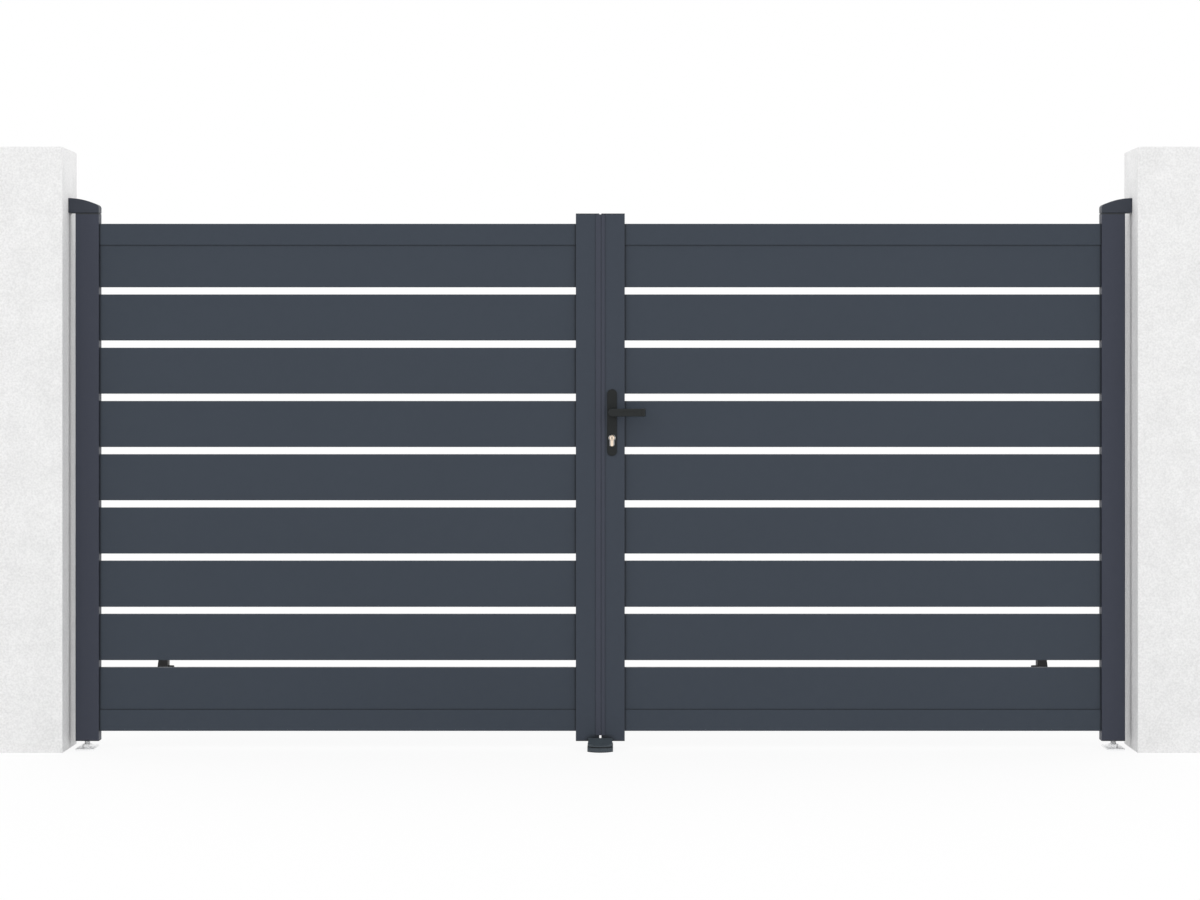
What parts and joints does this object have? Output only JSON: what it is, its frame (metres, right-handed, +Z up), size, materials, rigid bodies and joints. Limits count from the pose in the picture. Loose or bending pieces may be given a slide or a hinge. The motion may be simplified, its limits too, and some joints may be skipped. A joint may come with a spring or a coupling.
{
  "type": "double-leaf driveway gate",
  "caption": "Inward-opening double swing gate of horizontal aluminium slats, hung between two rendered pillars, with a lever lock and a ground stop.",
  "frame": {"origin": "middle of the gate on the ground, on the underside of the ground stop, in the leaves' middle plane", "axes": "+X along the gate to the right as seen from the street, +Y into the property, +Z up"},
  "size_m": [3.38, 1.5391, 1.692],
  "materials": {
    "render": "fine white painted render",
    "powder_coat": "fine-textured matt anthracite powder coat",
    "hinge_cover": "cast, anthracite powder coat",
    "ground_stop": "cast, anthracite powder coat",
    "zinc_steel": "bright zinc plate",
    "stop_black": "black paint",
    "buffer_rubber": "black rubber",
    "cap_plastic": "dark grey moulded plastic",
    "lock_steel": "brushed stainless steel",
    "lock_plate": "dark grey anodised",
    "lever": "dark grey anodised",
    "cylinder": "satin nickel-plated brass"
  },
  "bodies": {
    "pillars": {"left_pillar": "render", "left_top_hinge_bracket": "stop_black", "left_top_hinge_cover": "hinge_cover", "left_floor_pivot": "zinc_steel", "left_leaf_stop": "stop_black", "left_stop_buffer": "buffer_rubber", "right_pillar": "render", "right_top_hinge_bracket": "stop_black", "right_top_hinge_cover": "hinge_cover", "right_floor_pivot": "zinc_steel", "right_leaf_stop": "stop_black", "right_stop_buffer": "buffer_rubber", "ground_stop": "ground_stop"},
    "left_leaf": {"left_hinge_stile": "powder_coat", "left_meeting_stile": "powder_coat", "left_top_rail": "powder_coat", "left_bottom_rail": "powder_coat", "left_slat_1": "powder_coat", "left_slat_2": "powder_coat", "left_slat_3": "powder_coat", "left_slat_4": "powder_coat", "left_slat_5": "powder_coat", "left_slat_6": "powder_coat", "left_slat_7": "powder_coat", "left_slat_8": "powder_coat", "left_slat_9": "powder_coat", "left_cover_strip": "powder_coat", "left_stile_end_caps": "cap_plastic", "left_strike_plate": "lock_steel"},
    "right_leaf": {"right_hinge_stile": "powder_coat", "right_meeting_stile": "powder_coat", "right_top_rail": "powder_coat", "right_bottom_rail": "powder_coat", "right_slat_1": "powder_coat", "right_slat_2": "powder_coat", "right_slat_3": "powder_coat", "right_slat_4": "powder_coat", "right_slat_5": "powder_coat", "right_slat_6": "powder_coat", "right_slat_7": "powder_coat", "right_slat_8": "powder_coat", "right_slat_9": "powder_coat", "right_cover_strip": "powder_coat", "right_stile_end_caps": "cap_plastic", "lock_case": "lock_steel", "lock_plate_front": "lock_plate", "lock_plate_back": "lock_plate", "lock_cylinder": "cylinder"},
    "lever_handle": {"lever_handle_front": "lever", "lever_handle_back": "lever", "handle_spindle": "lock_steel"}
  },
  "joints": [
    {"name": "left_leaf_swing", "type": "hinge", "parent": "pillars", "child": "left_leaf", "pos_m": [-1.45, 0, 0.75], "axis": [0, 0, 1], "range_deg": [0, 89]},
    {"name": "right_leaf_swing", "type": "hinge", "parent": "pillars", "child": "right_leaf", "pos_m": [1.45, 0, 0.75], "axis": [0, 0, -1], "range_deg": [0, 89]},
    {"name": "lever_turn", "type": "hinge", "parent": "right_leaf", "child": "lever_handle", "pos_m": [0.033, 0, 0.949], "axis": [0, 1, 0], "range_deg": [0, 40], "stiffness_Nm_per_rad": 0.8, "springref_deg": -22.92}
  ]
}
